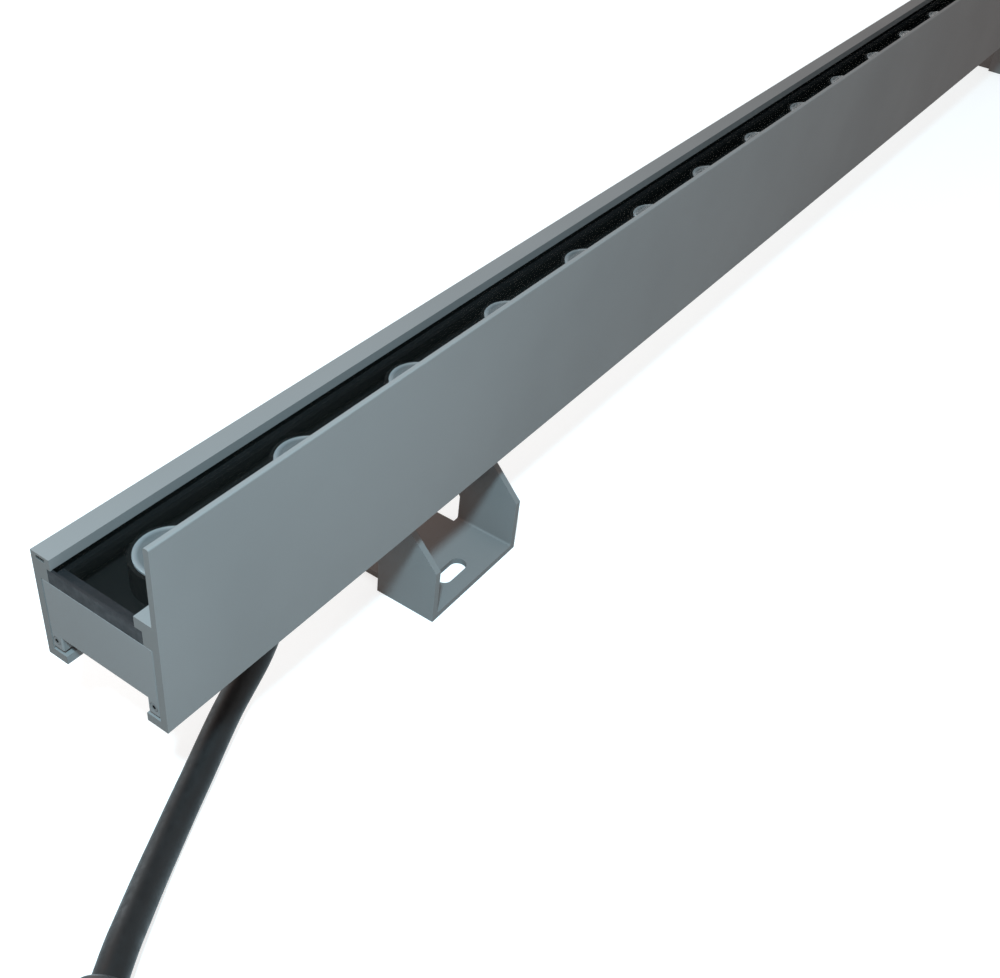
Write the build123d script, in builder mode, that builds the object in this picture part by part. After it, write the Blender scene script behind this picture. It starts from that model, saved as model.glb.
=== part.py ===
from build123d import *
import os
from math import pi, tan, radians

# Linear floodlight: a one-metre wall-washing lamp that slides and tilts on two
# brackets, with a cable gland and a short supply cord with a round connector.
# Millimetres, +Z up. X runs along the lamp, the visor stands on the -Y side,
# and the origin is on the mounting surface below the middle of the lamp.

# The housing, one extrusion
body_length = 1000
body_width = 46
wall = 2.4
visor_thickness = 1.8
visor_rise = 26.6
visor_round = 0.5
rail_lip_height = 3.0
rail_lip_reach = 5.1
channel_height = 6.0
web = 2.0
chamber_height = 6.6
optics_height = 8.1
ledge_thickness = 2.3
ledge_reach = 5.1
glass_side_thickness = 3.2
top_lip_thickness = 3.7
front_lip_reach = 5.8
rear_lip_reach = 4.6
top_lip_round = 0.6
mouth_round = 0.9
hollow_width = 3.3
hollow_height = 1.2
hollow_inset = 1.8
hollow_cover = 0.8
port_inset = 2.0
port_drop = 1.6
port_radius = 1.7
port_bore = 1.0

# The glass and its seals
glass_thickness = 3.2
glass_seal_thickness = 1.7
glass_side_fit = 0.1
end_seal_lip = 0.8

# The end caps
cap_thickness = 4.2
cap_gasket = 0.8
cap_fit = 0.15
cap_rise = 0.6
cap_foot_width = 4.1
cap_foot_drop = 4.8
cap_edge = 0.35
cap_screw_head = 1.3
cap_screw_head_height = 1.1
cap_screw_length = 14
cap_screw_socket = 0.5

# The light engine
lens_count = 18
lens_setback = 1.0
board_thickness = 1.6
board_side_gap = 0.6
board_end_gap = 1.0
board_split = 4.0
board_screw_side_gap = 2.8
board_screw_end = 22
board_screw_head = 2.4
board_screw_head_height = 1.8
board_screw = 1.5
board_screw_length = 5.0
link_length = 14
link_width = 3.6
link_height = 2.2
chip_size = 3.5
chip_height = 0.7
dome_radius = 1.4
dome_height = 1.0
lens_radius_share = 10.8 / 15.5
lens_rim = 1.2
lens_gap = 0.3
lens_foot_radius = 3.6
lens_foot_rise = 1.2
lens_pocket_radius = 2.2
lens_pocket_height = 2.6
holder_wall = 1.2
holder_drop = 0.5
holder_seat = 0.6
holder_fit = 0.1

# The driver, in the chamber under the boards
driver_from_gland = 34
driver_length = 120
driver_width = 26
driver_thickness = 1.2
standoff_height = 1.6
standoff_radius = 2.2
driver_screw = 1.1
driver_screw_head = 1.9
driver_screw_head_height = 0.9
driver_screw_inset = 3.0
parts_headroom = 0.4
core_radius = 0.95
core_pitch = 2.6
core_rise = 1.7
core_bend = 2.6
lead_pitch = 4.0
lead_reach = 9.0
lead_hole = 2.4

# The cable gland
gland_from_end = 65
gland_thread = 8.0
gland_bore = 4.95
gland_hex = 20
gland_washer = 1.0
gland_hex_height = 4.2
gland_stem = 7.6
gland_stem_length = 7.0
gland_nut_hex = 19
gland_nut_length = 12.8
gland_nut_wall = 1.6
gland_nut_round = 2.5
locknut_hex = 20
locknut_height = 2.5
thread_overhang = 0.4
thread_fit = 0.1
jacket_stub = 1.0

# The supply cord, from the gland's mouth to the connector's rear face
cord_diameter = 9.5
cord_run_share = 0.45
cord_route = [
    (-435.0, 0.0, 41.4),
    (-435.0, 0.0, 34.4),
    (-437.4, -0.3, 26.2),
    (-443.5, -1.0, 18.8),
    (-451.0, -1.9, 13.9),
    (-460.0, -4.0, 11.0),
    (-470.0, -7.7, 9.0),
    (-481.0, -12.1, 7.0),
    (-492.5, -16.7, 5.6),
    (-503.9, -21.7, 4.85),
    (-515.7, -27.5, 5.9),
    (-527.1, -33.9, 8.3),
    (-537.0, -39.4, 10.2),
    (-545.6, -44.5, 10.2),
]

# The connector, along the cord's last run
nut_rear_radius = 8.4
nut_rear_edge = 0.8
nut_front_radius = 9.2
nut_length = 17
nut_flutes = 12
flute_radius = 0.8
shell_radius = 8.0
shell_wall = 1.2
shell_length = 28
neck_radius = 7.0
neck_length = 14
tail_length = 12
rear_collar_place = 6.9
rear_collar_height = 1.2
front_collar_height = 0.9
collar_width = 1.6
ring_radius = 10.2
ring_length = 22
ring_lip = 4.0
ring_knurls = 30
knurl_radius = 0.5
ring_fit = 0.1
insert_setback = 5.0
insert_length = 12
insert_fit = 0.05
pin_radius = 0.8
pin_circle = 2.8
pin_reach = 4.0
pin_stub = 2.0
seal_setback = 5.5
seal_radius = 0.85

# The bracket's foot, screwed to the mounting surface
plate = 2.5
bend_radius = 0.8
pivot_height = 34
foot_length = 52.2
foot_depth = 25
tongue_depth = 25
tongue_inset = 5.1
foot_head = 10.5
front_shoulder = 23
rear_shoulder = 13
slot_length = 15.2
slot_width = 6.5
front_slot_shift = -2.4
front_slot_setback = 9.3
rear_slot_setback = 11
foot_corner = 3.0

# The bracket's hanger, clamped to the housing's rails
hanger_rise = 16.3
hanger_inset = 3.0
hanger_ear_root = 26
hanger_ear_radius = 9.5
slide_fit = 0.1
pivot_radius = 3.0
pivot_fit = 0.1
pivot_head = 5.2
pivot_head_height = 4.0
pivot_socket = 2.5
pivot_nut_hex = 10
pivot_nut_height = 5.0
pivot_tip = 1.0
pivot_washer_radius = 6.0
pivot_washer = 1.0
clamp_length = 30
clamp_flange = 1.2
clamp_side_gap = 0.4
clamp_rib_gap = 0.5
clamp_headroom = 0.4
clamp_screw_spread = 20
clamp_screw = 2.5
clamp_screw_fit = 0.2
clamp_screw_head = 4.25
clamp_screw_head_height = 3.0
clamp_screw_socket = 2.0
clamp_screw_short = 0.2
socket_depth_share = 0.6

# Places of the brackets' centres, from the lamp's near and far ends
near_bracket_from_end = 145.1
far_bracket_from_end = 90

# Heights above the mounting surface, from the rails up
rail_bottom = pivot_height + hanger_rise + slide_fit
rail_top = rail_bottom + rail_lip_height
channel_top = rail_top + channel_height
chamber_floor = channel_top + web
chamber_top = chamber_floor + chamber_height
tray_top = chamber_top + web
ledge_bottom = tray_top + optics_height
ledge_top = ledge_bottom + ledge_thickness
glass_bottom = ledge_top + glass_seal_thickness
glass_top = glass_bottom + glass_thickness
rear_top = glass_top + top_lip_thickness
visor_top = rear_top + visor_rise

# Half widths across the lamp
body_half = body_width / 2
inner_half = body_half - wall
rail_mouth_half = inner_half - rail_lip_reach
ledge_mouth_half = inner_half - ledge_reach
glass_channel_half = inner_half - glass_side_thickness
glass_half = glass_channel_half - glass_side_fit
mouth_front = front_lip_reach - inner_half
mouth_rear = inner_half - rear_lip_reach
hanger_width = body_width - 2 * hanger_inset

# Places along the lamp
end_x = body_length / 2
cap_depth = cap_thickness + cap_gasket
lens_pitch = body_length / lens_count
gland_x = gland_from_end - end_x
near_bracket_x = near_bracket_from_end - end_x
far_bracket_x = end_x - far_bracket_from_end
ends = (("near", -1), ("far", 1))
sides = (-1, 1)

# The end caps' lower edge, and the level that their feet reach down to
cap_bottom = channel_top + cap_rise
cap_foot_low = channel_top - cap_foot_drop

# Screw ports beside the channel's top corners
port_y = inner_half - port_inset
port_z = channel_top - port_drop

# The cord and its stubs share one radius
cord_radius = cord_diameter / 2

# Round pieces are drawn upwards from the middle of their lower face
standing = (Align.CENTER, Align.CENTER, Align.MIN)

os.makedirs("parts", exist_ok=True)


def finish(piece, name):
    """Label a finished piece and write it."""
    piece.part.label = name
    export_step(piece.part, f"parts/{name}.step")


def band(half_width, low, high, mode=Mode.ADD):
    """A rectangle across the lamp's section, between two heights."""
    with Locations((0, (low + high) / 2)):
        Rectangle(2 * half_width, high - low, mode=mode)


def disc(radius, low, high, mode=Mode.ADD):
    """An upright cylinder between two heights of the part's own plane."""
    with Locations((0, 0, low)):
        Cylinder(radius, high - low, align=standing, mode=mode)


def hexagon(across_flats, low, high, base):
    """An upright hexagonal prism between two heights above a plane."""
    with BuildSketch(base.offset(low)) as outline:
        RegularPolygon(across_flats / 2, 6, major_radius=False)
    extrude(outline.sketch, amount=high - low)


def screw(seat, head, head_height, shank, length, socket):
    """A socket screw whose head stands on a plane and whose shank goes down from it."""
    with BuildSketch(seat) as head_face:
        Circle(head)
    with BuildSketch(seat) as shank_face:
        Circle(shank)
    with BuildSketch(seat.offset(head_height)) as socket_face:
        RegularPolygon(socket, 6)
    extrude(head_face.sketch, amount=head_height)
    extrude(shank_face.sketch, amount=-length)
    extrude(socket_face.sketch, amount=-head_height * socket_depth_share, mode=Mode.SUBTRACT)


# Housing: the section first, then the ends cut back for the caps, then the holes
half_board = end_x - cap_depth - board_end_gap
board_screw_y = inner_half - board_screw_side_gap
board_screw_reach = half_board / 2 - board_screw_end
board_screw_places = [
    (middle + side * board_screw_reach, y)
    for middle in (-half_board / 2, half_board / 2)
    for side in sides
    for y in (-board_screw_y, board_screw_y)
]
driver_x = gland_x + driver_from_gland + driver_length / 2
driver_bottom = chamber_floor + standoff_height
driver_top = driver_bottom + driver_thickness
lead_x = driver_x + driver_length / 2 + lead_reach

with BuildPart() as housing:
    with BuildSketch(Plane.YZ.offset(-end_x)) as section:
        band(body_half, rail_bottom, rear_top)
        with Locations((-body_half, rail_bottom)):
            Rectangle(visor_thickness, visor_top - rail_bottom, align=(Align.MIN, Align.MIN))
        band(rail_mouth_half, rail_bottom, rail_top, Mode.SUBTRACT)
        band(inner_half, rail_top, channel_top, Mode.SUBTRACT)
        band(inner_half, chamber_floor, chamber_top, Mode.SUBTRACT)
        band(inner_half, tray_top, ledge_bottom, Mode.SUBTRACT)
        band(ledge_mouth_half, ledge_bottom, ledge_top, Mode.SUBTRACT)
        band(glass_channel_half, ledge_top, glass_top, Mode.SUBTRACT)
        with Locations((mouth_front, glass_top)):
            Rectangle(
                mouth_rear - mouth_front,
                top_lip_thickness,
                align=(Align.MIN, Align.MIN),
                mode=Mode.SUBTRACT,
            )
        with Locations((mouth_rear + hollow_inset, rear_top - hollow_cover)):
            Rectangle(hollow_width, hollow_height, align=(Align.MIN, Align.MAX), mode=Mode.SUBTRACT)
        levels = section.vertices().group_by(Axis.Y)
        mouth_level = section.vertices().filter_by_position(Axis.Y, glass_top, glass_top)
        fillet(levels[-1], radius=visor_round)
        fillet(levels[-2], radius=top_lip_round)
        fillet(mouth_level.sort_by(Axis.X)[1:-1], radius=mouth_round)
        with Locations((-port_y, port_z), (port_y, port_z)):
            Circle(port_radius)
        for side in sides:
            with Locations((side * (port_y + inner_half) / 2, (port_z + channel_top) / 2)):
                Rectangle(inner_half - port_y, channel_top - port_z)
        with Locations((-port_y, port_z), (port_y, port_z)):
            Circle(port_bore, mode=Mode.SUBTRACT)
    extrude(amount=body_length)
    for side in sides:
        with BuildSketch(Plane.YZ.offset(side * end_x)) as cap_pocket:
            band(inner_half, cap_foot_low, ledge_top)
        extrude(amount=-side * cap_depth, mode=Mode.SUBTRACT)
    with BuildSketch(Plane.XY.offset(channel_top)) as gland_hole:
        with Locations((gland_x, 0)):
            Circle(gland_thread + thread_fit)
    extrude(amount=web, mode=Mode.SUBTRACT)
    with BuildSketch(Plane.XY.offset(chamber_top)) as tray_holes:
        with Locations(*board_screw_places):
            Circle(board_screw)
        with Locations((lead_x, 0)):
            SlotOverall(lead_pitch + 2 * lead_hole, 2 * lead_hole, rotation=90)
    extrude(amount=web, mode=Mode.SUBTRACT)
finish(housing, "housing")

# End caps, gaskets and the caps' screws, at both ends
cap_half = inner_half - cap_fit
cap_foot_bottom = cap_foot_low + cap_fit
cap_foot_y = cap_half - cap_foot_width / 2
for name, side in ends:
    with BuildPart() as end_cap:
        with BuildSketch(Plane.YZ.offset(side * end_x)) as cap_face:
            band(cap_half, cap_bottom, ledge_top)
            for hand in sides:
                with Locations((hand * cap_foot_y, (cap_foot_bottom + cap_bottom) / 2)):
                    Rectangle(cap_foot_width, cap_bottom - cap_foot_bottom)
        extrude(amount=-side * cap_thickness)
        outer_face = end_cap.faces().sort_by(Axis.X)[0 if side < 0 else -1]
        chamfer(outer_face.edges(), length=cap_edge)
        with BuildSketch(Plane.YZ.offset(side * end_x)) as screw_heads:
            with Locations((-port_y, port_z), (port_y, port_z)):
                Circle(cap_screw_head + cap_fit)
        extrude(amount=-side * cap_screw_head_height, mode=Mode.SUBTRACT)
        with BuildSketch(Plane.YZ.offset(side * end_x)) as screw_holes:
            with Locations((-port_y, port_z), (port_y, port_z)):
                Circle(port_bore + cap_fit)
        extrude(amount=-side * cap_thickness, mode=Mode.SUBTRACT)
    finish(end_cap, f"end_cap_{name}")

    with BuildPart() as end_gasket:
        with BuildSketch(Plane.YZ.offset(side * (end_x - cap_thickness))) as gasket_face:
            band(cap_half, cap_bottom, ledge_top)
        extrude(amount=-side * cap_gasket)
    finish(end_gasket, f"end_gasket_{name}")

    with BuildPart() as cap_screws:
        for hand in sides:
            screw(
                Plane((side * (end_x - cap_screw_head_height), hand * port_y, port_z), z_dir=(side, 0, 0)),
                cap_screw_head,
                cap_screw_head_height,
                port_bore - thread_fit / 2,
                cap_screw_length,
                cap_screw_socket,
            )
    finish(cap_screws, f"end_cap_screws_{name}")

# Cover glass under the top lips, its side strips, and its end seals with their upright lips
glass_length = body_length - 2 * end_seal_lip
with BuildPart() as cover_glass:
    with BuildSketch(Plane.XY.offset(glass_bottom)) as glass_face:
        Rectangle(glass_length, 2 * glass_half)
    extrude(amount=glass_thickness)
finish(cover_glass, "cover_glass")

strip_width = glass_half - ledge_mouth_half
with BuildPart() as glass_seals:
    with BuildSketch(Plane.XY.offset(ledge_top)) as strips:
        with GridLocations(0, 2 * ledge_mouth_half + strip_width, 1, 2):
            Rectangle(body_length - 2 * cap_depth, strip_width)
    extrude(amount=glass_seal_thickness)
finish(glass_seals, "glass_seals")

with BuildPart() as glass_end_seals:
    with BuildSketch(Plane.XY.offset(ledge_top)) as end_strips:
        with GridLocations(body_length - cap_depth, 0, 2, 1):
            Rectangle(cap_depth, 2 * glass_half)
    extrude(amount=glass_seal_thickness)
    with BuildSketch(Plane.XY.offset(glass_bottom)) as end_lips:
        with GridLocations(body_length - end_seal_lip, 0, 2, 1):
            Rectangle(end_seal_lip, 2 * glass_half)
    extrude(amount=glass_thickness)
finish(glass_end_seals, "glass_end_seals")

# Circuit boards on the tray, their screws and the link between them
board_top = tray_top + board_thickness
board_length = half_board - board_split / 2
for name, side in ends:
    with BuildPart() as led_board:
        with BuildSketch(Plane.XY.offset(tray_top)) as board_face:
            with Locations((side * (board_split + board_length) / 2, 0)):
                Rectangle(board_length, 2 * (inner_half - board_side_gap))
            with Locations(*[place for place in board_screw_places if place[0] * side > 0]):
                Circle(board_screw + thread_fit, mode=Mode.SUBTRACT)
        extrude(amount=board_thickness)
    finish(led_board, f"led_board_{name}")

with BuildPart() as board_screws:
    for x, y in board_screw_places:
        screw(
            Plane((x, y, board_top)),
            board_screw_head,
            board_screw_head_height,
            board_screw - thread_fit / 2,
            board_screw_length,
            board_screw / 2,
        )
finish(board_screws, "board_screws")

with BuildPart() as board_link:
    with BuildSketch(Plane.XY.offset(board_top)) as link_face:
        with Locations((0, link_width / 2 - inner_half + board_side_gap)):
            Rectangle(link_length, link_width)
    extrude(amount=link_height)
finish(board_link, "board_link")

# Light-emitting chips in one row, a little behind the middle, each with a small dome
lens_places = [(lens_pitch * (index + 1 / 2) - end_x, lens_setback) for index in range(lens_count)]
with BuildPart() as leds:
    with BuildSketch(Plane.XY.offset(board_top)) as chip_faces:
        with Locations(*lens_places):
            Rectangle(chip_size, chip_size)
    extrude(amount=chip_height)
    with BuildSketch(Plane.XY.offset(board_top + chip_height)) as dome_faces:
        with Locations(*lens_places):
            Circle(dome_radius)
    extrude(amount=dome_height)
    fillet(leds.edges().group_by(Axis.Z)[-1], radius=dome_height / 2)
finish(leds, "leds")

# Lenses: a round rim over a cone that narrows to the chip, hollow over the chip,
# as wide a share of the mouth between the ledges as leaves room for the holders
lens_radius = lens_radius_share * ledge_mouth_half
lens_top = glass_bottom - lens_gap
rim_bottom = lens_top - lens_rim
lens_bottom = board_top + lens_foot_rise
cone_top_radius = lens_radius - holder_seat
with BuildPart() as one_lens:
    with BuildSketch(Plane.XZ) as lens_section:
        with BuildLine() as lens_outline:
            Polyline(
                (0, lens_bottom + lens_pocket_height),
                (lens_pocket_radius, lens_bottom),
                (lens_foot_radius, lens_bottom),
                (cone_top_radius, rim_bottom),
                (lens_radius, rim_bottom),
                (lens_radius, lens_top),
                (0, lens_top),
                close=True,
            )
        make_face()
    revolve(axis=Axis.Z)
    chamfer(one_lens.edges().group_by(Axis.Z)[-1], length=holder_fit)

with BuildPart() as lenses:
    with Locations(*lens_places):
        add(one_lens.part)
finish(lenses, "lenses")

# Black holders, each with a seat under its lens's rim
holder_top = lens_top - holder_drop
holder_radius = lens_radius + holder_fit + holder_wall
with BuildPart() as lens_holders:
    with BuildSketch(Plane.XY.offset(board_top)) as holder_rings:
        with Locations(*lens_places):
            Circle(holder_radius)
            Circle(cone_top_radius + holder_fit, mode=Mode.SUBTRACT)
    extrude(amount=holder_top - board_top)
    with BuildSketch(Plane.XY.offset(rim_bottom)) as rim_seats:
        with Locations(*lens_places):
            Circle(lens_radius + holder_fit)
    extrude(amount=holder_top - rim_bottom, mode=Mode.SUBTRACT)
finish(lens_holders, "lens_holders")

# Driver board on stand-offs on the chamber's floor
standoff_spread_x = driver_length - 2 * driver_screw_inset
standoff_spread_y = driver_width - 2 * driver_screw_inset
with BuildPart() as driver_board:
    with BuildSketch(Plane.XY.offset(driver_bottom)) as driver_face:
        with Locations((driver_x, 0)):
            Rectangle(driver_length, driver_width)
            with GridLocations(standoff_spread_x, standoff_spread_y, 2, 2):
                Circle(driver_screw + thread_fit, mode=Mode.SUBTRACT)
    extrude(amount=driver_thickness)
finish(driver_board, "driver_board")

with BuildPart() as driver_standoffs:
    with BuildSketch(Plane.XY.offset(chamber_floor)) as standoff_faces:
        with Locations((driver_x, 0)):
            with GridLocations(standoff_spread_x, standoff_spread_y, 2, 2):
                Circle(standoff_radius)
                Circle(driver_screw, mode=Mode.SUBTRACT)
    extrude(amount=standoff_height)
finish(driver_standoffs, "driver_standoffs")

with BuildPart() as driver_screws:
    for x_hand in sides:
        screw_x = driver_x + x_hand * standoff_spread_x / 2
        for y_hand in sides:
            screw(
                Plane((screw_x, y_hand * standoff_spread_y / 2, driver_top)),
                driver_screw_head,
                driver_screw_head_height,
                driver_screw - thread_fit / 2,
                driver_thickness + standoff_height - thread_fit,
                driver_screw / 2,
            )
finish(driver_screws, "driver_screws")

# Parts on the driver board, as shares of its length, width and free height
parts_height = chamber_top - parts_headroom - driver_top
block_shares = (
    (-0.46, 0.0, 0.06, 0.5, 0.95),
    (0.46, 0.0, 0.05, 0.4, 0.95),
    (-0.38, 0.22, 0.07, 0.3, 0.9),
    (-0.27, -0.1, 0.10, 0.5, 1.0),
    (-0.13, 0.2, 0.08, 0.3, 0.55),
    (-0.13, -0.2, 0.08, 0.25, 0.4),
    (0.14, -0.18, 0.06, 0.28, 0.5),
    (0.14, 0.2, 0.09, 0.3, 0.7),
    (0.36, 0.16, 0.05, 0.22, 0.45),
)
drum_shares = ((-0.38, -0.22, 0.15), (0.01, 0.0, 0.24), (0.27, -0.12, 0.17))
with BuildPart() as driver_parts:
    for x_share, y_share, length_share, width_share, height_share in block_shares:
        with BuildSketch(Plane.XY.offset(driver_top)) as block_face:
            with Locations((driver_x + x_share * driver_length, y_share * driver_width)):
                Rectangle(length_share * driver_length, width_share * driver_width)
        extrude(amount=height_share * parts_height)
    with BuildSketch(Plane.XY.offset(driver_top)) as drum_faces:
        for x_share, y_share, radius_share in drum_shares:
            with Locations((driver_x + x_share * driver_length, y_share * driver_width)):
                Circle(radius_share * driver_width)
    extrude(amount=parts_height)
finish(driver_parts, "driver_parts")

# Supply cores, from the jacket's end in the gland to the first terminal block
core_z = driver_top + core_rise
jacket_end = chamber_floor + jacket_stub
terminal_x = driver_x + (block_shares[0][0] - block_shares[0][2] / 2) * driver_length
with BuildPart() as supply_cores:
    for hand in (-1, 0, 1):
        y = hand * core_pitch
        with BuildLine() as core_path:
            FilletPolyline(
                (gland_x, y, jacket_end),
                (gland_x, y, core_z),
                (terminal_x, y, core_z),
                radius=core_bend,
            )
        with BuildSketch(Plane((gland_x, y, jacket_end))) as core_section:
            Circle(core_radius)
        sweep(core_section.sketch, path=core_path.line)
finish(supply_cores, "supply_cores")

# Board leads, from the last terminal block up through the tray to the board
lead_start = driver_x + (block_shares[1][0] + block_shares[1][2] / 2) * driver_length
with BuildPart() as led_leads:
    for hand in sides:
        y = hand * lead_pitch / 2
        with BuildLine() as lead_path:
            FilletPolyline(
                (lead_start, y, core_z),
                (lead_x, y, core_z),
                (lead_x, y, tray_top),
                radius=core_bend,
            )
        with BuildSketch(Plane((lead_start, y, core_z), z_dir=(1, 0, 0))) as lead_section:
            Circle(core_radius)
        sweep(lead_section.sketch, path=lead_path.line)
finish(led_leads, "led_leads")

# Cable gland, upright under the housing's web, from the web down to its mouth
gland_seat = channel_top - gland_washer
gland_hex_bottom = gland_seat - gland_hex_height
gland_stem_bottom = gland_hex_bottom - gland_stem_length
gland_mouth = gland_hex_bottom - gland_nut_length
gland_base = Plane((gland_x, 0, 0))
with BuildPart(gland_base) as gland_body:
    hexagon(gland_hex, gland_hex_bottom, gland_seat, gland_base)
    disc(gland_thread, gland_seat, chamber_floor + locknut_height + thread_overhang)
    disc(gland_stem, gland_stem_bottom, gland_hex_bottom)
    disc(gland_bore, gland_stem_bottom, chamber_floor + locknut_height + thread_overhang, Mode.SUBTRACT)
finish(gland_body, "gland_body")

with BuildPart(gland_base) as gland_washer_ring:
    disc(gland_hex / 2, gland_seat, channel_top)
    disc(gland_thread + thread_fit, gland_seat, channel_top, Mode.SUBTRACT)
finish(gland_washer_ring, "gland_washer")

with BuildPart(gland_base) as gland_locknut:
    hexagon(locknut_hex, chamber_floor, chamber_floor + locknut_height, gland_base)
    disc(gland_thread + thread_fit, chamber_floor, chamber_floor + locknut_height, Mode.SUBTRACT)
finish(gland_locknut, "gland_locknut")

with BuildPart(gland_base) as gland_nut:
    hexagon(gland_nut_hex, gland_mouth, gland_hex_bottom, gland_base)
    fillet(gland_nut.faces().sort_by(Axis.Z)[0].edges(), radius=gland_nut_round)
    disc(gland_stem + thread_fit, gland_mouth + gland_nut_wall, gland_hex_bottom, Mode.SUBTRACT)
    disc(gland_bore, gland_mouth, gland_hex_bottom, Mode.SUBTRACT)
finish(gland_nut, "gland_nut")

with BuildPart(gland_base) as gland_bush:
    disc(gland_stem, gland_mouth + gland_nut_wall, gland_stem_bottom)
    disc(cord_radius + thread_fit, gland_mouth + gland_nut_wall, gland_stem_bottom, Mode.SUBTRACT)
finish(gland_bush, "gland_bush")

with BuildPart(gland_base) as cable_tail:
    disc(cord_radius, gland_mouth, jacket_end)
finish(cable_tail, "cable_tail")

# Supply cord: straight runs joined by arcs as large as the runs allow
route = [Vector(*point) for point in cord_route]
runs = [after - before for before, after in zip(route, route[1:])]
radii = [
    cord_run_share * min(before.length, after.length) / tan(radians(before.get_angle(after) / 2))
    for before, after in zip(runs, runs[1:])
]
with BuildPart() as power_cord:
    with BuildLine() as cord_path:
        FilletPolyline(*route, radius=radii)
    with BuildSketch(Plane(route[0], z_dir=runs[0])) as cord_section:
        Circle(cord_radius)
    sweep(cord_section.sketch, path=cord_path.line)
finish(power_cord, "power_cord")
cord_length = cord_path.wire().length
cord_fill = power_cord.part.volume / (pi * cord_radius**2 * cord_length)
print("cord radii:", [round(radius, 1) for radius in radii])
print("cord length:", round(cord_length, 1))
print("cord volume over section times length:", round(cord_fill, 5))

# Connector, along the cord's last run: its plane's own height is the way out
connector = Plane(route[-1], z_dir=runs[-1])
neck_start = nut_length - neck_length
shell_front = nut_length + shell_length
nut_taper_length = nut_length - nut_rear_edge
with BuildPart(connector) as connector_nut:
    Cone(nut_rear_radius - nut_rear_edge, nut_rear_radius, nut_rear_edge, align=standing)
    with Locations((0, 0, nut_rear_edge)):
        Cone(nut_rear_radius, nut_front_radius, nut_taper_length, align=standing)
        with PolarLocations(nut_front_radius + flute_radius / 2, nut_flutes):
            Cylinder(flute_radius, nut_length, align=standing, mode=Mode.SUBTRACT)
    disc(cord_radius + thread_fit, 0, neck_start, Mode.SUBTRACT)
    disc(neck_radius + thread_fit, neck_start, nut_length, Mode.SUBTRACT)
finish(connector_nut, "connector_nut")

with BuildPart(connector) as connector_tail:
    disc(cord_radius, 0, tail_length)
finish(connector_tail, "connector_tail")

rear_collar_start = nut_length + rear_collar_place
ring_start = rear_collar_start + collar_width + ring_fit
front_collar_start = ring_start + ring_lip + ring_fit
seal_z = shell_front - seal_setback
with BuildPart(connector) as connector_shell:
    disc(neck_radius, neck_start, nut_length)
    disc(shell_radius, nut_length, shell_front)
    disc(shell_radius + rear_collar_height, rear_collar_start, rear_collar_start + collar_width)
    disc(shell_radius + front_collar_height, front_collar_start, front_collar_start + collar_width)
    disc(cord_radius + thread_fit, neck_start, nut_length, Mode.SUBTRACT)
    disc(shell_radius - shell_wall, nut_length, shell_front, Mode.SUBTRACT)
    with Locations((0, 0, seal_z)):
        Torus(shell_radius, seal_radius, mode=Mode.SUBTRACT)
finish(connector_shell, "connector_shell")

insert_front = shell_front - insert_setback
insert_rear = insert_front - insert_length
with BuildPart(connector) as connector_insert:
    disc(shell_radius - shell_wall - insert_fit, insert_rear, insert_front)
    with Locations((0, 0, insert_rear)):
        with PolarLocations(pin_circle, 3):
            Cylinder(pin_radius + insert_fit, insert_length, align=standing, mode=Mode.SUBTRACT)
finish(connector_insert, "connector_insert")

with BuildPart(connector) as connector_pins:
    with Locations((0, 0, insert_rear - pin_stub)):
        with PolarLocations(pin_circle, 3):
            Cylinder(pin_radius, pin_stub + insert_length + pin_reach, align=standing)
finish(connector_pins, "connector_pins")

with BuildPart(connector) as connector_seal:
    with Locations((0, 0, seal_z)):
        Torus(shell_radius, seal_radius - insert_fit)
finish(connector_seal, "connector_seal")

thread_radius = shell_radius + front_collar_height + 3 * ring_fit
with BuildPart(connector) as coupling_ring:
    disc(ring_radius, ring_start, ring_start + ring_length)
    with Locations((0, 0, ring_start)):
        with PolarLocations(ring_radius + knurl_radius / 2, ring_knurls, start_angle=180 / ring_knurls):
            Cylinder(knurl_radius, ring_length - ring_lip, align=standing, mode=Mode.SUBTRACT)
    disc(shell_radius + ring_fit, ring_start, ring_start + ring_length, Mode.SUBTRACT)
    disc(thread_radius, ring_start + ring_lip, ring_start + ring_length, Mode.SUBTRACT)
finish(coupling_ring, "coupling_ring")

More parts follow.
